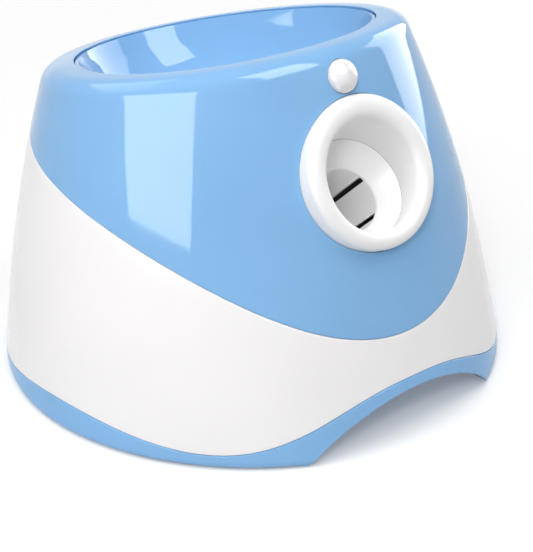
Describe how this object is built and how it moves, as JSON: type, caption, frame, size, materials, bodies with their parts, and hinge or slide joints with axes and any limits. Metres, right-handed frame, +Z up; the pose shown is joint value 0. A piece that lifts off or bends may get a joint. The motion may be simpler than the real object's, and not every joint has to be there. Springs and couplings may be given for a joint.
{
  "type": "automatic ball launcher",
  "caption": "Automatic ball launcher for dogs: sloping open hopper over a sprung plunger and round mouth, geared motor drive, motion sensor, rear buttons and a battery door underneath.",
  "frame": {"origin": "on the floor under the middle of the footprint", "axes": "+Z up, -Y towards the launch mouth, +X to the right when looking along +Y from the front"},
  "size_m": [0.271, 0.2622, 0.182],
  "materials": {
    "sky_blue_plastic": "high gloss moulded plastic",
    "white_plastic": "gloss moulded plastic",
    "pearl_plastic": "satin moulded plastic",
    "black_plastic": "fine matte texture",
    "grey_plastic": "fine matte texture",
    "gear_plastic": "smooth nylon",
    "rubber": "matte",
    "steel": "plain, lightly oiled",
    "circuit_board": "resin coated",
    "light_plastic": "clear tinted",
    "wire_sleeve": "soft satin sleeve"
  },
  "bodies": {
    "housing": {"upper_shell": "sky_blue_plastic", "base_tray": "sky_blue_plastic", "hopper": "sky_blue_plastic", "lower_shell": "white_plastic", "nozzle_bezel": "white_plastic", "sensor_lens": "pearl_plastic", "control_panel": "pearl_plastic", "launch_barrel": "black_plastic", "barrel_end_cap": "black_plastic", "power_switch": "black_plastic", "distance_switch": "black_plastic", "dc_jack": "black_plastic", "limit_switch": "black_plastic", "buzzer": "black_plastic", "barrel_cradle": "grey_plastic", "gearbox_frame": "grey_plastic", "gearbox_cover": "grey_plastic", "bumper_pad": "rubber", "rubber_foot_1": "rubber", "rubber_foot_2": "rubber", "rubber_foot_3": "rubber", "rubber_foot_4": "rubber", "sensor_element": "steel", "end_cap_screw_1": "steel", "end_cap_screw_2": "steel", "launch_spring": "steel", "gearbox_screw_1": "steel", "gearbox_screw_2": "steel", "gearbox_screw_3": "steel", "reduction_axle": "steel", "drive_motor": "steel", "battery_spring_1": "steel", "battery_spring_2": "steel", "battery_spring_3": "steel", "base_screw_1": "steel", "base_screw_2": "steel", "base_screw_3": "steel", "base_screw_4": "steel", "sensor_board": "circuit_board", "control_board": "circuit_board", "main_board": "circuit_board", "range_light_1": "light_plastic", "range_light_2": "light_plastic", "range_light_3": "light_plastic", "motor_lead": "wire_sleeve", "sensor_lead": "wire_sleeve", "battery_lead": "wire_sleeve"},
    "plunger": {"plunger": "white_plastic", "drive_rack": "gear_plastic", "rack_screw_1": "steel", "rack_screw_2": "steel"},
    "drive": {"drive_shaft": "steel", "sector_gear": "gear_plastic", "drive_gear": "gear_plastic"},
    "reduction": {"reduction_gear": "gear_plastic"},
    "motor_rotor": {"motor_pinion": "steel"},
    "power_button": {"power_button": "grey_plastic"},
    "distance_button": {"distance_button": "grey_plastic"},
    "limit_lever": {"limit_lever": "steel"},
    "battery_door": {"battery_door": "sky_blue_plastic"}
  },
  "joints": [
    {"name": "drive_turn", "type": "hinge", "parent": "housing", "child": "drive", "pos_m": [0.038, -0.00993, 0.09141], "axis": [1, 0, 0], "range_deg": [0, 119.4]},
    {"name": "plunger_slide", "type": "slide", "parent": "housing", "child": "plunger", "axis": [0, 0.7314, -0.682], "range_m": [0, 0.05], "stiffness_N_per_m": 390, "springref_m": -0.01, "deforming": ["launch_spring"]},
    {"name": "reduction_turn", "type": "hinge", "parent": "housing", "child": "reduction", "pos_m": [0.047, 0.01939, 0.08074], "axis": [1, 0, 0], "range_deg": [-398, 0]},
    {"name": "motor_turn", "type": "hinge", "parent": "housing", "child": "motor_rotor", "pos_m": [0.05, 0.0416, 0.07479], "axis": [1, 0, 0], "range_deg": [0, 1433]},
    {"name": "power_press", "type": "slide", "parent": "housing", "child": "power_button", "axis": [-0.168, -0.979, -0.1151], "range_m": [0, 0.001], "stiffness_N_per_m": 300, "springref_m": -0.0004},
    {"name": "distance_press", "type": "slide", "parent": "housing", "child": "distance_button", "axis": [0.168, -0.979, -0.1151], "range_m": [0, 0.001], "stiffness_N_per_m": 300, "springref_m": -0.0004},
    {"name": "lever_press", "type": "hinge", "parent": "housing", "child": "limit_lever", "pos_m": [0.03705, 0.01461, 0.0243], "axis": [1, 0, 0], "range_deg": [0, 3.5], "stiffness_Nm_per_rad": 0.003, "springref_deg": -11.46},
    {"name": "door_swing", "type": "hinge", "parent": "housing", "child": "battery_door", "pos_m": [0, 0.02351, 0.0012], "axis": [-1, 0, 0], "range_deg": [0, 100]}
  ],
  "couplings": [
    {"joint": "drive_turn", "follows": "plunger_slide", "rad_per_m": 41.667},
    {"joint": "reduction_turn", "follows": "plunger_slide", "rad_per_m": -138.89},
    {"joint": "motor_turn", "follows": "plunger_slide", "rad_per_m": 500}
  ]
}
